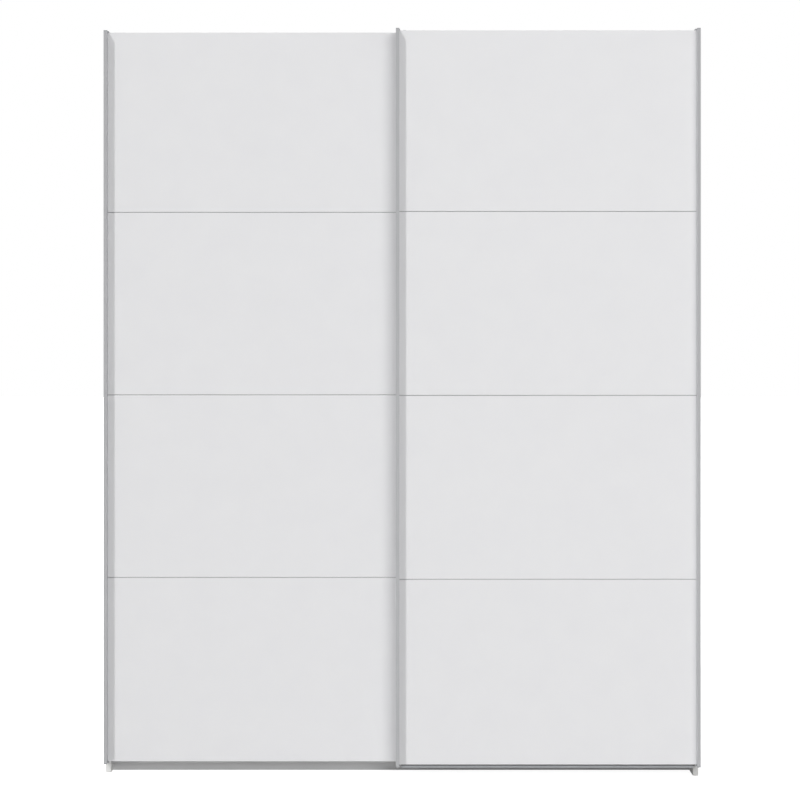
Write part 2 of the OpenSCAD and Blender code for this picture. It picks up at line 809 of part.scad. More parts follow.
side_panel_left();
side_panel_right();
top_panel();
bottom_panel();
centre_partition();
back_panel_left();
back_panel_right();
back_joining_strip();
hat_shelf_left();
hat_shelf_right();
clothes_rail_left();
clothes_rail_right();
rail_flanges();
plinth();
rear_plinth();
bottom_track();
top_track();
track_stops();
cam_locks();
cam_bolts();
dowels();
shelf_pins();
track_screws();
floor_glides();
wall_brackets();
left_door_board_bottom();
left_door_board_lower();
left_door_board_upper();
left_door_board_top();
left_door_splines();
left_door_profile_outer();
left_door_profile_inner();
left_door_caps();
left_door_roller_brackets();
left_door_axles();
left_door_top_guides();
left_door_guide_shoes();
left_door_screws();
left_door_wheel_outer();
left_door_wheel_inner();
right_door_board_bottom();
right_door_board_lower();
right_door_board_upper();
right_door_board_top();
right_door_splines();
right_door_profile_outer();
right_door_profile_inner();
right_door_caps();
right_door_carrier_rail();
right_door_axles();
right_door_top_guides();
right_door_guide_shoes();
right_door_screws();
right_door_wheel_outer();
right_door_wheel_inner();
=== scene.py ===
"""A sliding door wardrobe: two doors of stacked white boards, edged with slim aluminium handle profiles,
roll in front of a white board cabinet. The cabinet's boards, the doors and the running gear come from the
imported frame; the small pieces that a joiner or a fitter would add, such as edge bands, nails, screw heads
and the moulded wheels, are made here, each in its own section."""

import math

import bpy
import numpy as np
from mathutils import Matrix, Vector


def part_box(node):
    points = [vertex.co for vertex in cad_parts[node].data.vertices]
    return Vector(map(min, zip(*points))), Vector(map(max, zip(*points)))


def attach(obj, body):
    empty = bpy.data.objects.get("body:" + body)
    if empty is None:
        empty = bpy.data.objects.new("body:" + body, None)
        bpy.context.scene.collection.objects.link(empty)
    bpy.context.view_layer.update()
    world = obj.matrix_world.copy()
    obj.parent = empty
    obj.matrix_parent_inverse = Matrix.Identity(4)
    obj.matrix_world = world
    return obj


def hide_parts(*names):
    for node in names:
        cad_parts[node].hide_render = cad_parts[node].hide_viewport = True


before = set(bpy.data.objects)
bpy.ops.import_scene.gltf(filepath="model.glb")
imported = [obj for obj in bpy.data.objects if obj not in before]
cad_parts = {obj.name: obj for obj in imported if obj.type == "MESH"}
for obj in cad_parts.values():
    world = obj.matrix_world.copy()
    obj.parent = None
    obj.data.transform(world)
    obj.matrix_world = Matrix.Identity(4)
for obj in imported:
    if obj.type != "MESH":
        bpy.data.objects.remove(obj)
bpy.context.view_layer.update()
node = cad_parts


# ------------------------------------------------------------------ camera
# A long lens a little above the middle of the doors, square to them. The lens is shifted rather than
# tilted, so the uprights stay parallel, and it stands far enough off that the rear door reads smaller.

front_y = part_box("right_door_profile_outer")[0][1]
camera = bpy.data.cameras.new("camera")
camera.sensor_width = 36.0
camera.lens = 84.0
camera.shift_y = -0.0896
camera.clip_end = 60.0
viewer = bpy.data.objects.new("camera", camera)
viewer.location = (-0.003, front_y - 5.46, 1.32)
viewer.rotation_euler = (math.pi / 2, 0.0, 0.0)
bpy.context.scene.collection.objects.link(viewer)
bpy.context.scene.camera = viewer


# ------------------------------------------------------------------ cabinet boards
# Side panels, top, bottom and partition are 16 mm chipboard, pressed between white melamine papers. The
# plate leaves a fine pearl on the faces. The side panels' rear and lower edges are left sawn and raw.


def linear(colour):
    """Turns an sRGB hex colour into the linear RGBA that the shaders want."""
    values = [int(colour[i : i + 2], 16) / 255.0 for i in (0, 2, 4)]
    return [v / 12.92 if v <= 0.04045 else ((v + 0.055) / 1.055) ** 2.4 for v in values] + [1.0]


def add_node(material, kind, inputs=None, **settings):
    """Adds a node to a material or a world: settings are its properties, and each input is a value or a
    socket to link."""
    tree = material.node_tree
    new = tree.nodes.new(kind)
    for name, value in settings.items():
        setattr(new, name, value)
    for name, value in (inputs or {}).items():
        if isinstance(value, bpy.types.NodeSocket):
            tree.links.new(value, new.inputs[name])
        else:
            new.inputs[name].default_value = value
    return new


def new_material(name, colour, roughness, metallic=0.0, **sockets):
    """A material with one Principled shader, its constant values set on the shader's own sockets."""
    material = bpy.data.materials.new(name)
    material.use_nodes = True
    shader = material.node_tree.nodes["Principled BSDF"]
    shader.inputs["Base Color"].default_value = linear(colour)
    shader.inputs["Roughness"].default_value = roughness
    shader.inputs["Metallic"].default_value = metallic
    for name, value in sockets.items():
        shader.inputs[name.replace("_", " ")].default_value = value
    return material, shader


def join_up(material, shader, tone=None, gloss=None, height=None, strength=0.1, depth_mm=0.2):
    """Links a pattern's tone and gloss to the shader, and its height through a bump of depth_mm."""
    links = material.node_tree.links
    if tone is not None:
        links.new(tone, shader.inputs["Base Color"])
    if gloss is not None:
        links.new(gloss, shader.inputs["Roughness"])
    if height is not None:
        bump = add_node(material, "ShaderNodeBump", {
            "Height": height, "Strength": strength, "Distance": depth_mm / 1000.0})
        links.new(bump.outputs["Normal"], shader.inputs["Normal"])


def finish_with(material, *names):
    """Gives CAD nodes a material in place of the one that they were packed with."""
    for name in names:
        node[name].data.materials.clear()
        node[name].data.materials.append(material)


def melamine(name, colour, shade, pearl_mm, raw_edges=False):
    """White melamine face: a pearl of pearl_mm, drawn as a faint bump and a fainter change of gloss, over a
    cloudy change of tone a hand's width across, which is how the paper shows the board under it. With
    raw_edges, faces that point back or down show sawn chipboard: brown flakes of 2 to 5 mm."""
    material, shader = new_material(name, colour, 0.42, IOR=1.52)
    place = add_node(material, "ShaderNodeTexCoord")
    pearl = add_node(material, "ShaderNodeTexNoise", {
        "Vector": place.outputs["Object"], "Scale": 1000.0 / pearl_mm, "Detail": 2.0})
    cloud = add_node(material, "ShaderNodeTexNoise", {
        "Vector": place.outputs["Object"], "Scale": 1000.0 / 90.0, "Detail": 3.0})
    tone = add_node(material, "ShaderNodeMix", {
        0: cloud.outputs["Fac"], 6: linear(shade), 7: linear(colour)}, data_type="RGBA").outputs[2]
    gloss = add_node(material, "ShaderNodeMapRange", {
        "Value": pearl.outputs["Fac"], "To Min": 0.36, "To Max": 0.50}).outputs["Result"]
    if raw_edges:
        flat_flakes = add_node(material, "ShaderNodeMapping", {
            "Vector": place.outputs["Object"], "Scale": (1000.0 / 2.2, 1000.0 / 5.0, 1000.0 / 5.0)})
        flakes = add_node(material, "ShaderNodeTexVoronoi", {
            "Vector": flat_flakes.outputs["Vector"], "Scale": 1.0})
        browns = add_node(material, "ShaderNodeValToRGB", {"Fac": flakes.outputs["Color"]})
        browns.color_ramp.elements[0].color = linear("8C6A45")
        browns.color_ramp.elements[0].position = 0.2
        browns.color_ramp.elements[1].color = linear("D2B48A")
        browns.color_ramp.elements[1].position = 0.8
        way = add_node(material, "ShaderNodeSeparateXYZ", {0: place.outputs["Normal"]})
        rear = add_node(material, "ShaderNodeMath", {0: way.outputs["Y"], 1: 0.9}, operation="GREATER_THAN")
        under = add_node(material, "ShaderNodeMath", {0: way.outputs["Z"], 1: -0.9}, operation="LESS_THAN")
        raw = add_node(material, "ShaderNodeMath", {
            0: rear.outputs[0], 1: under.outputs[0]}, operation="MAXIMUM")
        tone = add_node(material, "ShaderNodeMix", {
            0: raw.outputs[0], 6: tone, 7: browns.outputs["Color"]}, data_type="RGBA").outputs[2]
        gloss = add_node(material, "ShaderNodeMix", {0: raw.outputs[0], 2: gloss, 3: 0.85}).outputs[0]
    join_up(material, shader, tone, gloss, pearl.outputs["Fac"], 0.06, 0.4)
    return material


# The real pearl is about a millimetre across, and is drawn coarser so that it shows.
drawn_pearl = 2.5
cabinet_melamine = melamine("cabinet_board_white_melamine_pearl", "ECECEA", "E7E7E5", drawn_pearl)
side_melamine = melamine(
    "side_panel_white_melamine_raw_rear_edge", "ECECEA", "E7E7E5", drawn_pearl, raw_edges=True)
finish_with(cabinet_melamine, "top_panel", "bottom_panel", "centre_partition",
            "hat_shelf_left", "hat_shelf_right")
finish_with(side_melamine, "side_panel_left", "side_panel_right")


# ------------------------------------------------------------------ edge bands
# White ABS tape, 0.4 mm thick, glued hot along the front edge of each cabinet board and scraped flush, so
# that its face is very slightly crowned and its long edges are eased.


def grid_faces(rows, columns, close_rows=False, close_columns=False):
    """Quads between neighbouring points of a rows by columns grid, which may close on itself either way."""
    points = np.arange(rows * columns).reshape(rows, columns)
    if close_rows:
        points = np.vstack([points, points[:1]])
    if close_columns:
        points = np.hstack([points, points[:, :1]])
    corners = (points[:-1, :-1], points[1:, :-1], points[1:, 1:], points[:-1, 1:])
    return np.stack(corners, axis=-1).reshape(-1, 4).tolist()


def carried(outline, axes, start, end):
    """A closed outline carried along a straight path. The outline's points are (a, b) pairs along the first
    two axes, the path runs from start to end, and both ends are closed with the outline itself."""
    a, b = (np.array(axis, float) for axis in axes)
    ring = outline[:, :1] * a + outline[:, 1:] * b
    stations = np.array([start, end], float)
    vertices = (stations[:, None, :] + ring[None, :, :]).reshape(-1, 3)
    count = len(outline)
    faces = [face[::-1] for face in grid_faces(2, count, close_columns=True)]
    faces += [list(range(count - 1, -1, -1)), list(range(count, 2 * count))]
    return vertices, faces


def new_piece(name, parts, material, body, smooth=True):
    """Joins (vertices, faces) parts into one mesh object, which rides on a body."""
    starts = np.cumsum([0] + [len(vertices) for vertices, _ in parts])
    faces = [[int(start) + i for i in face] for start, (_, some) in zip(starts, parts) for face in some]
    mesh = bpy.data.meshes.new(name)
    mesh.from_pydata(np.vstack([vertices for vertices, _ in parts]).tolist(), [], faces)
    mesh.polygons.foreach_set("use_smooth", [smooth] * len(faces))
    if smooth:
        mesh.set_sharp_from_angle(angle=math.radians(35))
    mesh.materials.append(material)
    piece = bpy.data.objects.new(name, mesh)
    bpy.context.scene.collection.objects.link(piece)
    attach(piece, body)
    return piece


def plastic(name, colour, shade, roughness, grain_mm, strength=0.08, **sockets):
    """Moulded or extruded plastic: the tool's grain as bump and a few percent of gloss, and a slow drift of
    tone where the melt ran. The real grain is a tenth of a millimetre; grain_mm is coarser, to show."""
    material, shader = new_material(name, colour, roughness, IOR=1.53, **sockets)
    place = add_node(material, "ShaderNodeTexCoord").outputs["Object"]
    grain = add_node(material, "ShaderNodeTexNoise", {
        "Vector": place, "Scale": 1000.0 / grain_mm, "Detail": 3.0})
    flow = add_node(material, "ShaderNodeTexNoise", {"Vector": place, "Scale": 1000.0 / 25.0, "Detail": 2.0})
    tone = add_node(material, "ShaderNodeMix", {
        0: flow.outputs["Fac"], 6: linear(shade), 7: linear(colour)}, data_type="RGBA").outputs[2]
    gloss = add_node(material, "ShaderNodeMapRange", {
        "Value": grain.outputs["Fac"],
        "To Min": roughness - 0.07, "To Max": roughness + 0.07}).outputs["Result"]
    join_up(material, shader, tone, gloss, grain.outputs["Fac"], strength, 0.2)
    return material


tape_t = 0.0004
turn = np.linspace(0.0, math.pi, 17)
# A half of a rounded rectangle: cosine and sine raised to small powers fill out its corners.
tape_across = np.sign(np.cos(turn)) * np.abs(np.cos(turn)) ** 0.22
tape_out = np.abs(np.sin(turn)) ** 0.3 * (1.0 - 0.25 * tape_across**2)


def front_tape(name):
    """A tape over the front edge of a CAD board: the half outline spans the board's thickness, stands
    tape_t out to the front, and runs the whole length of the edge."""
    low, high = (np.array(corner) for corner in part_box(name))
    middle = (low + high) / 2
    if high[0] - low[0] > high[2] - low[2]:
        half, start, end = (high[2] - low[2]) / 2, (low[0], low[1], middle[2]), (high[0], low[1], middle[2])
        axes = ((0, 0, 1), (0, -1, 0))
    else:
        half, start, end = (high[0] - low[0]) / 2, (middle[0], low[1], high[2]), (middle[0], low[1], low[2])
        axes = ((1, 0, 0), (0, -1, 0))
    return carried(np.stack([tape_across * half, tape_out * tape_t], axis=1), axes, start, end)


banded = ("side_panel_left", "side_panel_right", "top_panel", "bottom_panel", "centre_partition",
          "hat_shelf_left", "hat_shelf_right")
white_tape = plastic("edge_band_white_abs_extruded", "EDEDEB", "E6E6E4", 0.36, 1.2)
new_piece("cabinet_edge_bands", [front_tape(name) for name in banded], white_tape, "cabinet")


# ------------------------------------------------------------------ cams, bolts, dowels and pins
# The corners are drawn together by die-cast zinc cams on turned steel bolts, and lined up by fluted beech
# dowels. The cams' cross-slotted faces show on the top and underneath; the shelves rest on nickelled pins.


def plated(name, colour, shade, roughness, mottle_mm, scratch_axis=None):
    """Plated or cast metal: crystals or casting skin, drawn at mottle_mm so that they show, vary the tone
    and the gloss, and with scratch_axis fine handling marks are drawn out along it."""
    material, shader = new_material(name, colour, roughness, 1.0)
    place = add_node(material, "ShaderNodeTexCoord").outputs["Object"]
    mottle = add_node(material, "ShaderNodeTexNoise", {
        "Vector": place, "Scale": 1000.0 / mottle_mm, "Detail": 4.0, "Roughness": 0.6})
    tone = add_node(material, "ShaderNodeMix", {
        0: mottle.outputs["Fac"], 6: linear(shade), 7: linear(colour)}, data_type="RGBA").outputs[2]
    height = mottle.outputs["Fac"]
    if scratch_axis:
        stretch = [1600.0, 1600.0, 1600.0]
        stretch["xyz".index(scratch_axis)] = 12.0
        drawn = add_node(material, "ShaderNodeMapping", {"Vector": place, "Scale": stretch})
        marks = add_node(material, "ShaderNodeTexNoise", {"Vector": drawn.outputs["Vector"], "Scale": 1.0})
        height = add_node(material, "ShaderNodeMath", {
            0: mottle.outputs["Fac"], 1: marks.outputs["Fac"]}, operation="MULTIPLY").outputs[0]
    gloss = add_node(material, "ShaderNodeMapRange", {
        "Value": height, "To Min": roughness + 0.1, "To Max": roughness - 0.08}).outputs["Result"]
    join_up(material, shader, tone, gloss, height, 0.12, 0.15)
    return material


def cross_heads(centres, radius, height, outward):
    """Screw heads with a cross recess. A square grid (u, v) is pressed into a disc by u sqrt(1 - v v / 2)
    and v sqrt(1 - u u / 2); it rises by height times (1 - r to the 6th), less most of that in two crossed
    bars. Each head is closed underneath, and turned so that it looks outward."""
    steps = np.array([-1.0, -0.82, -0.64, -0.58, -0.2, -0.14, 0.14, 0.2, 0.58, 0.64, 0.82, 1.0])
    u, v = np.meshgrid(steps, steps, indexing="ij")
    a, b = u * np.sqrt(1 - v**2 / 2), v * np.sqrt(1 - u**2 / 2)
    across, along = np.minimum(abs(u), abs(v)), np.maximum(abs(u), abs(v))
    rise = height * (1 - (a**2 + b**2) ** 3) - 0.8 * height * ((across <= 0.15) & (along <= 0.6))
    out = np.array(outward, float)
    first = np.array((0.0, 0.0, 1.0) if out[1] > 0 else (0.0, 1.0, 0.0) if out[2] < 0 else (1.0, 0.0, 0.0))
    second = np.cross(out, first)
    head = (a[..., None] * first + b[..., None] * second) * radius + rise[..., None] * out
    size = len(steps)
    index = np.arange(size * size).reshape(size, size)
    rim = np.concatenate([index[0], index[1:, -1], index[-1, -2::-1], index[-2:0:-1, 0]]).tolist()
    faces = grid_faces(size, size) + [rim]
    return [(head.reshape(-1, 3) + np.array(centre), faces) for centre in centres]


die_cast = plated("cam_zinc_die_cast", "B4B3AE", "9C9B96", 0.42, 1.4)
zinc_plated = plated("steel_bright_zinc_plated", "C6C9CC", "AEB2B6", 0.32, 3.0, scratch_axis="z")
nickelled = plated("shelf_pin_steel_nickelled", "CFCBC2", "BDB9B0", 0.22, 2.0)
finish_with(die_cast, "cam_locks")
finish_with(zinc_plated, "cam_bolts")
finish_with(nickelled, "shelf_pins")

cam_low, cam_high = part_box("cam_locks")
cam_r = 0.0075
cam_face_r, cam_face_rise = cam_r * 0.96, 0.0005
cam_xs, cam_ys = (cam_low[0] + cam_r, cam_high[0] - cam_r), (cam_low[1] + cam_r, cam_high[1] - cam_r)
cam_tops = [(x, y, cam_high[2]) for x in cam_xs for y in cam_ys]
cam_undersides = [(x, y, cam_low[2]) for x in cam_xs for y in cam_ys]
new_piece("cam_faces", cross_heads(cam_tops, cam_face_r, cam_face_rise, (0, 0, 1))
          + cross_heads(cam_undersides, cam_face_r, cam_face_rise, (0, 0, -1)), die_cast, "cabinet")

# Beech turned round and fluted: fibres run along the dowel, really a fifth of a millimetre apart and drawn
# at 0.7 mm so that they show.
beech, shader = new_material("dowel_beech_turned", "C9A077", 0.62, IOR=1.5)
place = add_node(beech, "ShaderNodeTexCoord").outputs["Object"]
fibre = add_node(beech, "ShaderNodeMapping", {"Vector": place, "Scale": (60.0, 1400.0, 1400.0)})
grain = add_node(beech, "ShaderNodeTexNoise", {
    "Vector": fibre.outputs["Vector"], "Scale": 1.0, "Detail": 3.0})
tone = add_node(beech, "ShaderNodeMix", {
    0: grain.outputs["Fac"], 6: linear("A97F55"), 7: linear("D8B48C")}, data_type="RGBA")
join_up(beech, shader, tone.outputs[2], None, grain.outputs["Fac"], 0.3, 0.2)
finish_with(beech, "dowels")


# ------------------------------------------------------------------ back panels
# Hardboard 3 mm thick, lacquered white inside and left brown outside. It slides into grooves in the side
# panels, meets in a plastic joining strip, and is nailed to the rear edges of the top and bottom panels.

hardboard, shader = new_material("back_panel_hardboard_white_lacquered_face", "E9E9E6", 0.5, IOR=1.5)
place = add_node(hardboard, "ShaderNodeTexCoord")
# The pressed felt's fibres are drawn about 6 mm long and half a millimetre wide, coarser than real ones so
# that they show. Two noises, stretched along and upright, cross each other.
felt = []
for stretch in ((160.0, 160.0, 2000.0), (2000.0, 160.0, 160.0)):
    laid = add_node(hardboard, "ShaderNodeMapping", {"Vector": place.outputs["Object"], "Scale": stretch})
    felt.append(add_node(hardboard, "ShaderNodeTexNoise", {"Vector": laid.outputs["Vector"], "Scale": 1.0}))
fibres = add_node(hardboard, "ShaderNodeMath", {0: felt[0].outputs["Fac"], 1: felt[1].outputs["Fac"]},
                  operation="MULTIPLY")
brown = add_node(hardboard, "ShaderNodeValToRGB", {"Fac": fibres.outputs[0]})
brown.color_ramp.elements[0].color = linear("8F6B47")
brown.color_ramp.elements[0].position = 0.12
brown.color_ramp.elements[1].color = linear("BF9A70")
brown.color_ramp.elements[1].position = 0.42
lacquer = add_node(hardboard, "ShaderNodeMix", {
    0: fibres.outputs[0], 6: linear("E2E2DF"), 7: linear("EEEEEB")}, data_type="RGBA")
way = add_node(hardboard, "ShaderNodeSeparateXYZ", {0: place.outputs["Normal"]})
inside = add_node(hardboard, "ShaderNodeMath", {0: way.outputs["Y"], 1: -0.5}, operation="LESS_THAN")
tone = add_node(hardboard, "ShaderNodeMix", {
    0: inside.outputs[0], 6: brown.outputs["Color"], 7: lacquer.outputs[2]}, data_type="RGBA")
gloss = add_node(hardboard, "ShaderNodeMapRange", {
    "Value": inside.outputs[0], "To Min": 0.82, "To Max": 0.45})
join_up(hardboard, shader, tone.outputs[2], gloss.outputs["Result"], fibres.outputs[0], 0.25, 0.2)
finish_with(hardboard, "back_panel_left", "back_panel_right")

strip_white = plastic("joining_strip_white_pvc_extruded", "E6E6E2", "DEDEDA", 0.4, 1.5)
finish_with(strip_white, "back_joining_strip")

nail_r = 0.0032
nail_rings = np.linspace(0.0, 1.0, 5)


def nail_heads(places):
    """Flat nail heads: rings of twelve points rise by 0.8 mm times (1 - r to the 4th), dished a little in
    the middle. The innermost ring closes on a middle face and the outermost on the board."""
    around = np.linspace(0.0, 2 * math.pi, 12, endpoint=False)
    ring, angle = np.meshgrid(nail_rings[1:], around, indexing="ij")
    rise = 0.0008 * (1 - ring**4) - 0.0002 * (1 - ring) ** 2
    head = np.stack([ring * nail_r * np.cos(angle), rise, ring * nail_r * np.sin(angle)], axis=-1)
    rows = len(nail_rings) - 1
    faces = grid_faces(12, rows, close_rows=True)
    order = np.arange(12) * rows
    flat = head.transpose(1, 0, 2).reshape(-1, 3)
    faces += [order.tolist(), (order + rows - 1)[::-1].tolist()]
    return [(flat + np.array(place), faces) for place in places]


back_low, back_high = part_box("back_panel_left")
nails_a_side = 8
first_nail_x = back_low[0] + 0.03
strip_side_x = 0.04
half_board_t = 0.008
nail_xs = np.concatenate([np.linspace(first_nail_x, -strip_side_x, nails_a_side),
                          np.linspace(strip_side_x, -first_nail_x, nails_a_side)])
nail_zs = [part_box(panel)[0][2] + half_board_t for panel in ("top_panel", "bottom_panel")]
nail_places = [(x, back_high[1], z) for z in nail_zs for x in nail_xs]
nail_steel = plated("nail_steel_bright_drawn", "B9BBBD", "9FA2A5", 0.34, 2.0)
new_piece("back_panel_nails", nail_heads(nail_places), nail_steel, "cabinet")


# ------------------------------------------------------------------ clothes rails
# Oval steel tube, welded, polished and chromed, pushed over die-cast flanges that are screwed to the boards.
# Chrome gives a bright, near mirror skin with only a faint ripple from the polishing wheel along the tube.

chrome, shader = new_material("clothes_rail_steel_chromed", "DCDEE0", 0.1, 1.0)
place = add_node(chrome, "ShaderNodeTexCoord").outputs["Object"]
polish = add_node(chrome, "ShaderNodeMapping", {"Vector": place, "Scale": (15.0, 250.0, 250.0)})
ripple = add_node(chrome, "ShaderNodeTexNoise", {
    "Vector": polish.outputs["Vector"], "Scale": 1.0, "Detail": 2.0})
tone = add_node(chrome, "ShaderNodeMix", {
    0: ripple.outputs["Fac"], 6: linear("D2D5D8"), 7: linear("E2E3E4")}, data_type="RGBA")
gloss = add_node(chrome, "ShaderNodeMapRange", {
    "Value": ripple.outputs["Fac"], "To Min": 0.06, "To Max": 0.17})
join_up(chrome, shader, tone.outputs[2], gloss.outputs["Result"], ripple.outputs["Fac"], 0.05, 0.2)
finish_with(chrome, "clothes_rail_left", "clothes_rail_right")

chromed_zinc = plated("rail_flange_zinc_die_cast_chromed", "D6D8DA", "C6C9CC", 0.18, 4.0)
finish_with(chromed_zinc, "rail_flanges")


# ------------------------------------------------------------------ plinths and glides
# Two board rails, melamine faced like the cabinet, stand on edge under the bottom panel: the front one
# closes the gap behind the track. Small plastic glides keep the side panels off the floor.

plinth_melamine = melamine("plinth_white_melamine_pearl", "E6E6E6", "E0E0E0", drawn_pearl)
finish_with(plinth_melamine, "plinth", "rear_plinth")
glide_grey = plastic("glide_grey_polypropylene_moulded", "7B7D80", "6E7073", 0.5, 0.8, 0.12)
finish_with(glide_grey, "floor_glides")


# ------------------------------------------------------------------ tracks and stops
# Extruded aluminium, silver anodised: the ribbed lower track is screwed to the plinth, and the guide track
# with its two grooves lies on the cabinet's top. Dark rubber blocks pressed over the ribs stop the wheels.


def anodised(name, colour, dark, roughness, along_axis):
    """Anodised aluminium: die lines, really a tenth of a millimetre apart and drawn here at half a
    millimetre so that they show, run along one axis and change tone and gloss by a few percent."""
    material, shader = new_material(name, colour, roughness, 1.0)
    place = add_node(material, "ShaderNodeTexCoord").outputs["Object"]
    stretch = [2000.0, 2000.0, 2000.0]
    stretch["xyz".index(along_axis)] = 3.0
    drawn = add_node(material, "ShaderNodeMapping", {"Vector": place, "Scale": stretch})
    lines = add_node(material, "ShaderNodeTexNoise", {
        "Vector": drawn.outputs["Vector"], "Scale": 1.0, "Detail": 2.0})
    tone = add_node(material, "ShaderNodeMix", {
        0: lines.outputs["Fac"], 6: linear(dark), 7: linear(colour)}, data_type="RGBA").outputs[2]
    gloss = add_node(material, "ShaderNodeMapRange", {
        "Value": lines.outputs["Fac"],
        "To Min": roughness - 0.06, "To Max": roughness + 0.06}).outputs["Result"]
    join_up(material, shader, tone, gloss, lines.outputs["Fac"], 0.05, 0.2)
    return material


track_aluminium = anodised("track_aluminium_silver_anodised", "C9CACC", "BBBCBE", 0.36, "x")
finish_with(track_aluminium, "bottom_track", "top_track")
stop_rubber = plastic("wheel_stop_black_rubber_moulded", "2B2B2C", "232324", 0.7, 0.6, 0.25)
finish_with(stop_rubber, "track_stops")


# ------------------------------------------------------------------ track screws
# Pan head steel screws, bright zinc plated, in a row along the plinth and along both grooves of the guide
# track. Their cross-recessed heads stay low, so that the doors' shoes pass over them.

finish_with(zinc_plated, "track_screws")
screw_low, screw_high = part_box("track_screws")
head_r, groove_head_r, pan_rise = 0.0034, 0.0031, 0.0008
screws_a_row = 7
screw_xs = np.linspace(screw_low[0] + head_r, screw_high[0] - head_r, screws_a_row)
# The lower row's heads stand in front of the plinth by the track's wall and their own thickness. The upper
# rows lie on the floor of the guide track, in the middle of each groove.
row_proud, row_rise = 0.0035, 0.017
groove_floor_t, groove_middles = 0.002, (0.007, 0.019)
row_y, row_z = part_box("plinth")[0][1] - row_proud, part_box("bottom_track")[0][2] + row_rise
plinth_heads = [(x, row_y, row_z) for x in screw_xs]
guide_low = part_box("top_track")[0]
guide_heads = [(x, guide_low[1] + y, guide_low[2] + groove_floor_t) for x in screw_xs for y in groove_middles]
new_piece("track_screw_heads", cross_heads(plinth_heads, head_r * 0.95, pan_rise, (0, -1, 0))
          + cross_heads(guide_heads, groove_head_r, pan_rise, (0, 0, 1)), zinc_plated, "cabinet")


# ------------------------------------------------------------------ wall brackets
# Angles of 2.5 mm steel strip, bent, punched and zinc plated, screwed down at the rear of the cabinet's top.
# A screw through each upright leg ties the cabinet to the wall.

finish_with(zinc_plated, "wall_brackets")
wall_low, wall_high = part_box("wall_brackets")
bracket_half_w, foot_inset, screw_top, half_pitch, dome_rise = 0.02, 0.042, 0.0035, 0.01, 0.0011
bracket_xs = (wall_low[0] + bracket_half_w, wall_high[0] - bracket_half_w)
bracket_heads = [(x + dx, wall_high[1] - foot_inset, wall_low[2] + screw_top)
                 for x in bracket_xs for dx in (-half_pitch, half_pitch)]
new_piece("wall_bracket_screw_heads", cross_heads(bracket_heads, head_r, dome_rise, (0, 0, 1)), zinc_plated,
          "cabinet")


# ------------------------------------------------------------------ door boards
# Each door is four boards of chipboard, faced like the cabinet. Their long edges are chamfered before the
# edges are banded, so two boards meet in a shallow V groove.

door_melamine = melamine("door_board_white_melamine_pearl", "EDEDEE", "E9E9EB", drawn_pearl)
board_rows = ("bottom", "lower", "upper", "top")
for door in ("left", "right"):
    finish_with(door_melamine, *(f"{door}_door_board_{row}" for row in board_rows))


# ------------------------------------------------------------------ splines between the boards
# Flat tongues of grey ABS, pushed into the slots of both boards. Only a dark hairline of them shows at the
# bottom of each groove.

abs_grey, shader = new_material("spline_grey_abs_extruded", "8E9092", 0.55, IOR=1.54)
place = add_node(abs_grey, "ShaderNodeTexCoord").outputs["Object"]
# Extrusion lines run along the tongue, about a millimetre apart.
along = add_node(abs_grey, "ShaderNodeMapping", {"Vector": place, "Scale": (4.0, 1000.0, 1000.0)})
lines = add_node(abs_grey, "ShaderNodeTexNoise", {
    "Vector": along.outputs["Vector"], "Scale": 1.0, "Detail": 1.0})
tone = add_node(abs_grey, "ShaderNodeMix", {
    0: lines.outputs["Fac"], 6: linear("868889"), 7: linear("95979A")}, data_type="RGBA")
join_up(abs_grey, shader, tone.outputs[2], None, lines.outputs["Fac"], 0.1, 0.2)
finish_with(abs_grey, "left_door_splines", "right_door_splines")


# ------------------------------------------------------------------ edge profiles and their caps
# Extruded aluminium, satin etched and silver anodised, pressed over the boards' ends. Fine die lines run
# its whole length, which stretch the highlight into a soft upright streak. Moulded caps close its ends.

profile_aluminium = anodised("profile_aluminium_silver_anodised", "D9DADC", "CFD0D2", 0.38, "z")
cap_grey = plastic("profile_cap_grey_abs_moulded", "B2B4B6", "A8AAAC", 0.46, 0.7, 0.12)
for door in ("left", "right"):
    finish_with(profile_aluminium, f"{door}_door_profile_outer", f"{door}_door_profile_inner")
    finish_with(cap_grey, f"{door}_door_caps")


# ------------------------------------------------------------------ painted shadow strip under the front door
# A black strip with a rubber's grain and gloss, set on the lower edge of the front door's lowest board
# between
# its end caps. It is painted shadow: its black stands for the shade in the gap between the board and the
# carrier rail.

# Its black colour is painted shadow: the dark line between the board and the carrier rail.
shadow_strip_black = plastic("black_rubber_painted_shadow_strip", "1E1E1F", "19191A", 0.68, 0.8, 0.2)
shadow_strip_h, shadow_strip_d = 0.003, 0.007
shadow_strip_setback, shadow_strip_end_gap = 0.0012, 0.012
board_low, board_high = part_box("right_door_board_bottom")
shadow_strip_y = board_low[1] + shadow_strip_setback + shadow_strip_d / 2
shadow_strip_ends = [(x, shadow_strip_y, board_low[2] - shadow_strip_h / 2)
             for x in (board_low[0] + shadow_strip_end_gap, board_high[0] - shadow_strip_end_gap)]
# A superellipse of power 5: a flat strip with softly rounded corners.
turn = np.linspace(0.0, 2 * math.pi, 32, endpoint=False)
shadow_strip_outline = np.stack([np.sign(np.cos(turn)) * np.abs(np.cos(turn)) ** 0.4 * shadow_strip_d / 2,
                         np.sign(np.sin(turn)) * np.abs(np.sin(turn)) ** 0.4 * shadow_strip_h / 2], axis=1)
new_piece("right_door_bottom_painted_shadow_strip", [carried(shadow_strip_outline, ((0, 1, 0), (0, 0, 1)), *shadow_strip_ends)],
          shadow_strip_black, "right_door")


# ------------------------------------------------------------------ roller brackets, carrier rail and axles
# The rear door stands on bent and punched steel brackets. The front door stands on a steel carrier rail,
# whose front face shows below its boards as a bright strip. Axles are turned and riveted.

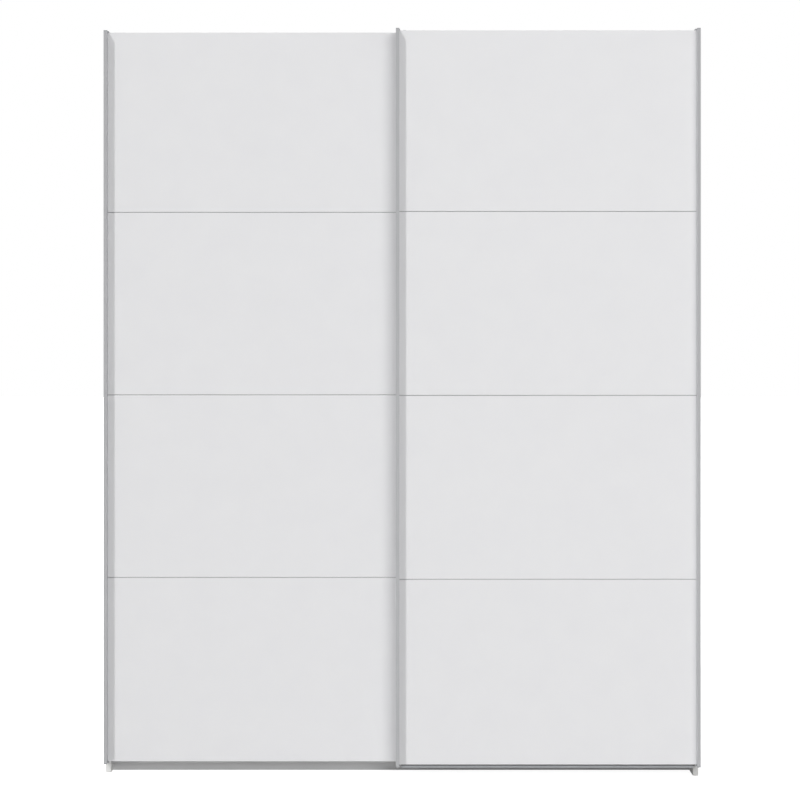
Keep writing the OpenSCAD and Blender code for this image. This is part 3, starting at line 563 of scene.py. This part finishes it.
carrier_steel = plated(
    "carrier_rail_steel_bright_zinc_plated", "C9CBCE", "B6B9BC", 0.34, 5.0, scratch_axis="x")
axle_steel = plated("axle_steel_turned_bright", "BDBFC1", "A9ABAE", 0.2, 0.8)
finish_with(carrier_steel, "right_door_carrier_rail")
finish_with(zinc_plated, "left_door_roller_brackets", "left_door_top_guides", "right_door_top_guides")
finish_with(axle_steel, "left_door_axles", "right_door_axles")


# ------------------------------------------------------------------ wheels
# Each wheel is injection moulded from white nylon in one shot: a hub, a thin web stiffened by eight ribs
# on both faces, and a rim with the groove that straddles the track's rib.

nylon = plastic("wheel_nylon_white_moulded", "E4E2DA", "DAD7CD", 0.36, 0.9, 0.06, Subsurface_Weight=0.08)
wheel_w = 0.005
# The section's outline as (radius, depth) in millimetres, from the bore out over the front face, across
# the grooved tread and back in over the rear face. Depths in the web are marked by the last value.
wheel_outline = np.array([
    [2.05, 0.1, 0], [2.2, 0.0, 0], [3.7, 0.0, 0], [4.0, 0.05, 0], [4.3, 0.0, 1], [6.2, 0.0, 1], [8.2, 0.0, 1],
    [8.6, 0.05, 0], [8.9, 0.0, 0], [11.6, 0.0, 0], [11.95, 0.15, 0], [12.0, 0.4, 0], [12.0, 1.05, 0],
    [10.1, 1.1, 0], [10.0, 1.2, 0], [10.0, 3.8, 0], [10.1, 3.9, 0], [12.0, 3.95, 0], [12.0, 4.6, 0],
    [11.95, 4.85, 0], [11.6, 5.0, 0], [8.9, 5.0, 0], [8.6, 4.95, 0], [8.2, 5.0, -1], [6.2, 5.0, -1],
    [4.3, 5.0, -1], [4.0, 4.95, 0], [3.7, 5.0, 0], [2.2, 5.0, 0], [2.05, 4.9, 0]])


def moulded_wheel(name):
    """A wheel on the bore of a CAD wheel: the outline is turned about the axle, and between the ribs the
    web's two faces sink 1.1 mm by the smooth step of cos(8 angle), so that eight ribs stay standing."""
    low, high = (np.array(corner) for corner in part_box(name))
    centre = (low + high) / 2
    angle = np.linspace(0.0, 2 * math.pi, 96, endpoint=False)[:, None]
    radius, depth, web = (wheel_outline[None, :, i] for i in range(3))
    window = np.clip((0.72 - np.cos(8 * angle)) / 0.5, 0.0, 1.0)
    sunk = depth + web * 1.1 * window**2 * (3 - 2 * window)
    ring = np.stack([radius * np.cos(angle), sunk - 1000 * wheel_w / 2, radius * np.sin(angle)], axis=-1)
    rows, columns = ring.shape[:2]
    faces = [face[::-1] for face in grid_faces(rows, columns, True, True)]
    return (ring / 1000.0).reshape(-1, 3) + centre, faces


for door in ("left", "right"):
    for end in ("outer", "inner"):
        cad_wheel = f"{door}_door_wheel_{end}"
        wheel = new_piece(f"{door}_door_moulded_wheel_{end}", [moulded_wheel(cad_wheel)], nylon,
                          f"{door}_wheel_{end}")
        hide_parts(cad_wheel)


# ------------------------------------------------------------------ guide shoes
# Blocks of white nylon, cut from bar and slotted, sit on the tips of the guide brackets and slide in the
# grooves of the track on the cabinet's top.

shoe_nylon = plastic("guide_shoe_nylon_natural_machined", "E0DDD2", "D6D3C7", 0.42, 0.7, 0.08)
finish_with(shoe_nylon, "left_door_guide_shoes", "right_door_guide_shoes")


# ------------------------------------------------------------------ door screws
# Countersunk chipboard screws, bright zinc plated, hold the brackets and the carrier rail to the boards'
# backs. Their flush heads show the cross recess.

finish_with(zinc_plated, "left_door_screws", "right_door_screws")
flush_t, flush_r = 0.0003, head_r * 0.97
steel_t = 0.0025
screw_edge, screw_half_pitch = 0.012, 0.010
arm_screw_inset, arm_screw_rises = 0.005, (0.020, 0.055)


def pairs_of_heads(box_name, xs, zs):
    """Two heads each at these places on the back of a plate that is steel_t thick and has its front at the
    box's lowest y."""
    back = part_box(box_name)[0][1] + steel_t
    return [(x + dx, back, z) for x in xs for dx in (-screw_half_pitch, screw_half_pitch) for z in zs]


def wheel_xs(door):
    """The places of a door's two wheels along the track."""
    boxes = (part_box(f"{door}_door_wheel_{end}") for end in ("outer", "inner"))
    return [(low[0] + high[0]) / 2 for low, high in boxes]


bracket_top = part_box("left_door_roller_brackets")[1][2]
guide_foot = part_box("left_door_top_guides")[0][2]
left_heads = pairs_of_heads("left_door_roller_brackets", wheel_xs("left"), (bracket_top - screw_edge,))
left_heads += pairs_of_heads("left_door_top_guides", wheel_xs("left"), (guide_foot + screw_edge,))
new_piece("left_door_screw_heads", cross_heads(left_heads, flush_r, flush_t, (0, 1, 0)), zinc_plated,
          "left_door")

carrier_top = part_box("right_door_carrier_rail")[1][2]
arm_low, arm_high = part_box("right_door_top_guides")
right_heads = pairs_of_heads("right_door_carrier_rail", wheel_xs("right"), (carrier_top - screw_edge,))
right_heads += [(x, arm_low[1] + steel_t, arm_low[2] + rise)
                for x in (arm_low[0] + arm_screw_inset, arm_high[0] - arm_screw_inset)
                for rise in arm_screw_rises]
new_piece("right_door_screw_heads", cross_heads(right_heads, flush_r, flush_t, (0, 1, 0)), zinc_plated,
          "right_door")


# ------------------------------------------------------------------ floor, backdrop and light
# A white studio floor, lit from below so that it runs into the white behind it. A small key lamp stands
# high on the left, a broad softbox high on the right fills its shadows, and the room does the rest.


def aim(thing, at):
    """Turns a lamp so that it shines on a point."""
    thing.rotation_euler = (thing.location - at).to_track_quat("Z", "Y").to_euler()


key = bpy.data.lights.new("key_lamp", "SUN")
key.energy = 1.78
key.angle = math.radians(3.5)
key_lamp = bpy.data.objects.new("key_lamp", key)
key_lamp.location = (-5.2, -5.0, 10.0)
aim(key_lamp, Vector((0.0, 0.0, 1.0)))
bpy.context.scene.collection.objects.link(key_lamp)

fill = bpy.data.lights.new("fill_softbox", "AREA")
fill.shape = "RECTANGLE"
fill.size = 7.5
fill.size_y = 3.6
fill.energy = 640.0
fill_softbox = bpy.data.objects.new("fill_softbox", fill)
fill_softbox.location = (5.2, front_y - 13.0, 7.4)
aim(fill_softbox, Vector((0.0, front_y, 1.1)))
# It is hidden from reflections, which no real softbox is, so that the metal mirrors only the walls.
fill_softbox.visible_glossy = False
bpy.context.scene.collection.objects.link(fill_softbox)

world = bpy.data.worlds.new("white_room")
bpy.context.scene.world = world
world.use_nodes = True
walls = world.node_tree.nodes["Background"]
walls.inputs["Color"].default_value = (1.0, 1.0, 1.0, 1.0)
# The walls send out a soft light, low from the front and fuller from behind the wardrobe, which the doors
# don't see. They stand brighter in reflections than their light, as white cards beside the camera would
# make them, and are themselves seen as clean white.
seen = add_node(world, "ShaderNodeLightPath")
place = add_node(world, "ShaderNodeTexCoord").outputs["Generated"]
towards = add_node(world, "ShaderNodeSeparateXYZ", {0: place})
behind = add_node(world, "ShaderNodeMapRange", {
    "Value": towards.outputs["Y"], "From Max": 0.4, "To Min": 0.15, "To Max": 0.75})
mirrored = add_node(world, "ShaderNodeMapRange", {
    "Value": seen.outputs["Is Glossy Ray"], "To Min": behind.outputs["Result"], "To Max": 0.58})
level = add_node(world, "ShaderNodeMapRange", {
    "Value": seen.outputs["Is Camera Ray"], "To Min": mirrored.outputs["Result"], "To Max": 1.0})
world.node_tree.links.new(level.outputs["Result"], walls.inputs["Strength"])

floor_mesh = bpy.data.meshes.new("studio_floor")
floor_mesh.from_pydata([(-30, -30, 0), (30, -30, 0), (30, 30, 0), (-30, 30, 0)], [], [(0, 1, 2, 3)])
studio_floor = bpy.data.objects.new("studio_floor", floor_mesh)
bpy.context.scene.collection.objects.link(studio_floor)
floor_white, shader = new_material("floor_white_acrylic_lit_from_below", "D8D8D8", 0.9)
shader.inputs["Emission Color"].default_value = (1.0, 1.0, 1.0, 1.0)
seen = add_node(floor_white, "ShaderNodeLightPath")
bounce = add_node(floor_white, "ShaderNodeMath", {
    0: seen.outputs["Is Diffuse Ray"], 1: 0.13}, operation="MULTIPLY")
glow = add_node(floor_white, "ShaderNodeMath", {
    0: seen.outputs["Is Camera Ray"], 1: 0.9, 2: bounce.outputs[0]}, operation="MULTIPLY_ADD")
floor_white.node_tree.links.new(glow.outputs[0], shader.inputs["Emission Strength"])
floor_mesh.materials.append(floor_white)

bpy.context.scene.view_settings.view_transform = "Standard"
